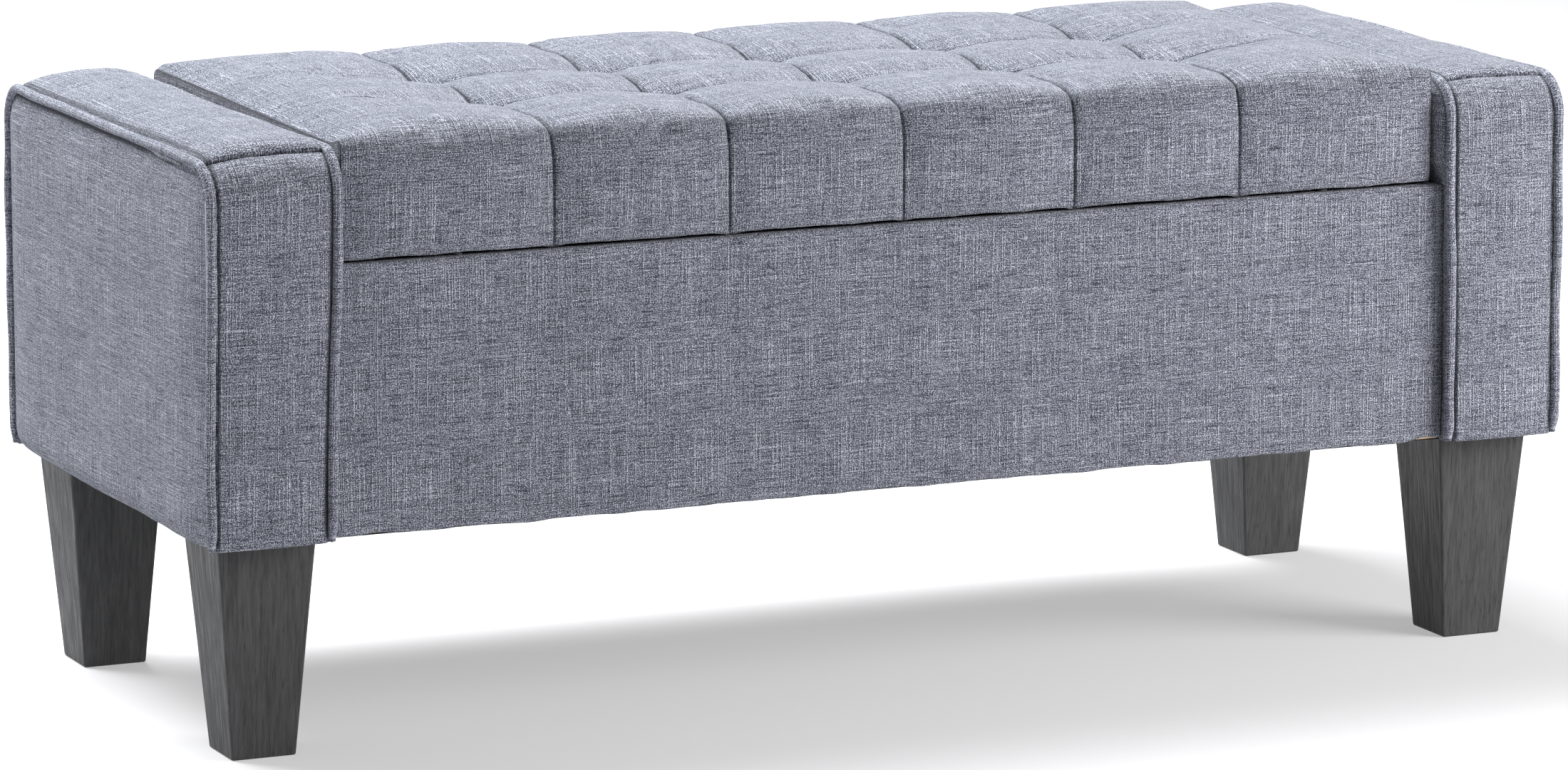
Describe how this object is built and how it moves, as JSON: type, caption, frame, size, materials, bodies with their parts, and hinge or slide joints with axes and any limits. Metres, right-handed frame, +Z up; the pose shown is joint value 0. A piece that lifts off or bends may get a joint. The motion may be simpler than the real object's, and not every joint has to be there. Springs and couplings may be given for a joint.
{
  "type": "storage bench",
  "caption": "Upholstered storage bench with padded arms edged in piping, a tufted hinged lid over a storage box, and square tapered wooden legs.",
  "frame": {"origin": "on the floor under the middle of the bench", "axes": "+X along the bench to the right arm, -Y to the front, +Z up"},
  "size_m": [1.1276, 0.4658, 0.47],
  "materials": {
    "linen": "slubbed woven linen look",
    "plywood": "raw plywood",
    "leg_wood": "brushed dark stain",
    "lining": "non-woven",
    "steel": "zinc plated",
    "rubber": "matt"
  },
  "bodies": {
    "base": {"bottom_panel": "plywood", "front_panel": "plywood", "back_panel": "plywood", "hinge_rail": "plywood", "storage_lining": "lining", "front_cover": "linen", "back_cover": "linen", "dust_cover": "lining", "left_box_side": "plywood", "left_inner_side": "plywood", "left_outer_side": "plywood", "left_arm_front_board": "plywood", "left_arm_back_board": "plywood", "left_arm_top_board": "plywood", "left_leg_rail": "plywood", "left_arm_boxing": "linen", "left_arm_facing": "linen", "left_side_pad": "linen", "left_outer_piping": "linen", "left_inner_piping": "linen", "left_bumper": "rubber", "left_hinge_fixed_leaf": "steel", "left_hinge_pin": "steel", "left_stay_bracket": "steel", "front_left_leg": "leg_wood", "front_left_leg_stud": "steel", "back_left_leg": "leg_wood", "back_left_leg_stud": "steel", "right_box_side": "plywood", "right_inner_side": "plywood", "right_outer_side": "plywood", "right_arm_front_board": "plywood", "right_arm_back_board": "plywood", "right_arm_top_board": "plywood", "right_leg_rail": "plywood", "right_arm_boxing": "linen", "right_arm_facing": "linen", "right_side_pad": "linen", "right_outer_piping": "linen", "right_inner_piping": "linen", "right_bumper": "rubber", "right_hinge_fixed_leaf": "steel", "right_hinge_pin": "steel", "right_stay_bracket": "steel", "front_right_leg": "leg_wood", "front_right_leg_stud": "steel", "back_right_leg": "leg_wood", "back_right_leg_stud": "steel"},
    "lid": {"lid_board": "plywood", "lid_cushion": "linen", "lid_lining": "lining", "left_hinge_moving_leaf": "steel", "left_lid_bracket": "steel", "right_hinge_moving_leaf": "steel", "right_lid_bracket": "steel"},
    "left_stay_arm": {"left_stay_arm": "steel"},
    "left_stay_link": {"left_stay_link": "steel"},
    "right_stay_arm": {"right_stay_arm": "steel"},
    "right_stay_link": {"right_stay_link": "steel"}
  },
  "joints": [
    {"name": "lid_hinge", "type": "hinge", "parent": "base", "child": "lid", "pos_m": [0, 0.2065, 0.3706], "axis": [-1, 0, 0], "range_deg": [0, 90]},
    {"name": "left_stay_arm_pivot", "type": "hinge", "parent": "base", "child": "left_stay_arm", "pos_m": [-0.4396, 0.15, 0.2681], "axis": [-1, 0, 0], "range_deg": [0, 90]},
    {"name": "left_stay_link_pivot", "type": "hinge", "parent": "left_stay_arm", "child": "left_stay_link", "pos_m": [-0.437, 0.05, 0.2461], "axis": [-1, 0, 0], "range_deg": [-90, 0]},
    {"name": "right_stay_arm_pivot", "type": "hinge", "parent": "base", "child": "right_stay_arm", "pos_m": [0.4396, 0.15, 0.2681], "axis": [-1, 0, 0], "range_deg": [0, 90]},
    {"name": "right_stay_link_pivot", "type": "hinge", "parent": "right_stay_arm", "child": "right_stay_link", "pos_m": [0.437, 0.05, 0.2461], "axis": [-1, 0, 0], "range_deg": [-90, 0]}
  ],
  "couplings": [
    {"joint": "left_stay_arm_pivot", "follows": "lid_hinge", "ratio": 1},
    {"joint": "left_stay_link_pivot", "follows": "lid_hinge", "ratio": -1},
    {"joint": "right_stay_arm_pivot", "follows": "lid_hinge", "ratio": 1},
    {"joint": "right_stay_link_pivot", "follows": "lid_hinge", "ratio": -1}
  ]
}
